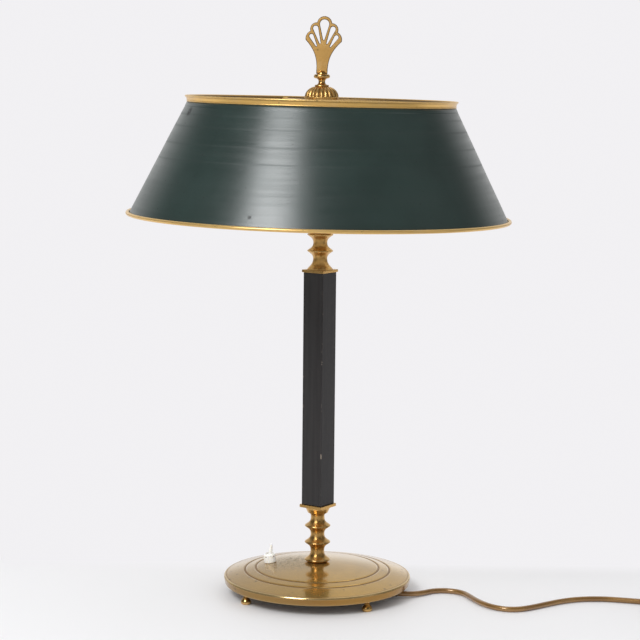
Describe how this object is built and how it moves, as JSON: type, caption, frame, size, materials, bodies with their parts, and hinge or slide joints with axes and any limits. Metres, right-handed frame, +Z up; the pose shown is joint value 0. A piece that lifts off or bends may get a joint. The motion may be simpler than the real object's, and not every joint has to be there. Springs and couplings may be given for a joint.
{
  "type": "bouillotte table lamp",
  "caption": "Table lamp with a round brass base, square lacquered column, wide open-topped painted metal cone shade and a palmette finial.",
  "frame": {"origin": "on the table, below the centre of the column", "axes": "+Z up along the column, -Y towards the user, +X to the user's right"},
  "size_m": [0.6351, 0.4017, 0.6043],
  "materials": {
    "polished_brass": "polished, slightly worn",
    "aged_brass": "satin with old stains",
    "plated_steel": "plain plated",
    "iron": "raw casting",
    "board": "brown pressed board",
    "black_lacquer": "satin black",
    "green_paint": "satin dark green",
    "dark_plastic": "moulded dark brown",
    "white_plastic": "moulded ivory white",
    "opal_glass": "opal white",
    "wire_insulation": "rubber insulation",
    "gold_cord": "twisted golden-brown cover"
  },
  "bodies": {
    "stand": {"foot_front_left": "polished_brass", "foot_front_right": "polished_brass", "foot_back_left": "polished_brass", "foot_back_right": "polished_brass", "base_shell": "aged_brass", "ballast_disc": "iron", "bottom_cover": "board", "tie_tube": "plated_steel", "tie_washer": "plated_steel", "tie_nut": "polished_brass", "lower_spool": "polished_brass", "lower_plate": "polished_brass", "column": "black_lacquer", "upper_plate": "polished_brass", "upper_spool": "polished_brass", "cluster_body": "polished_brass", "holder_arm_left": "polished_brass", "holder_arm_right": "polished_brass", "lampholder_left": "dark_plastic", "lampholder_right": "dark_plastic", "screw_shell_left": "polished_brass", "screw_shell_right": "polished_brass", "centre_contact_left": "polished_brass", "centre_contact_right": "polished_brass", "shade_rod": "polished_brass", "switch_body": "dark_plastic", "switch_terminals": "polished_brass", "switch_bushing": "polished_brass", "switch_collar": "white_plastic", "switch_pivot_pin": "plated_steel", "cord_gland": "dark_plastic", "gland_nut": "plated_steel", "strain_relief": "dark_plastic", "cord_end": "gold_cord", "wire_live_in": "wire_insulation", "wire_live_out": "wire_insulation", "wire_neutral": "wire_insulation", "holder_wires_left": "wire_insulation", "holder_wires_right": "wire_insulation", "cord_lead": "gold_cord", "cord_coil": "gold_cord", "cord_tail": "gold_cord", "plug_relief": "dark_plastic", "plug_body": "dark_plastic", "plug_pins": "plated_steel"},
    "shade": {"shade_spider": "aged_brass", "spider_rivets": "polished_brass", "shade_skin": "green_paint", "shade_top_band": "polished_brass", "shade_bottom_bead": "polished_brass"},
    "finial": {"dome_cap": "polished_brass", "finial_stem": "polished_brass", "finial_palmette": "polished_brass"},
    "bulb_left": {"bulb_cap_left": "plated_steel", "bulb_glass_left": "opal_glass"},
    "bulb_right": {"bulb_cap_right": "plated_steel", "bulb_glass_right": "opal_glass"},
    "switch_lever": {"switch_lever": "white_plastic"}
  },
  "joints": [
    {"name": "switch_toggle", "type": "hinge", "parent": "stand", "child": "switch_lever", "pos_m": [-0.05041, 0.00853, 0.03234], "axis": [-0.1668, -0.986, 0], "range_deg": [0, 26]},
    {"name": "shade_turn", "type": "hinge", "parent": "stand", "child": "shade", "pos_m": [0, 0, 0.517], "axis": [0, 0, 1], "continuous": true},
    {"name": "finial_turn", "type": "hinge", "parent": "stand", "child": "finial", "pos_m": [0, 0, 0.53], "axis": [0, 0, 1], "continuous": true},
    {"name": "bulb_left_turn", "type": "hinge", "parent": "stand", "child": "bulb_left", "pos_m": [-0.048, 0, 0.43], "axis": [0, 0, 1], "range_deg": [0, 1440]},
    {"name": "bulb_right_turn", "type": "hinge", "parent": "stand", "child": "bulb_right", "pos_m": [0.048, 0, 0.43], "axis": [0, 0, 1], "range_deg": [0, 1440]}
  ]
}
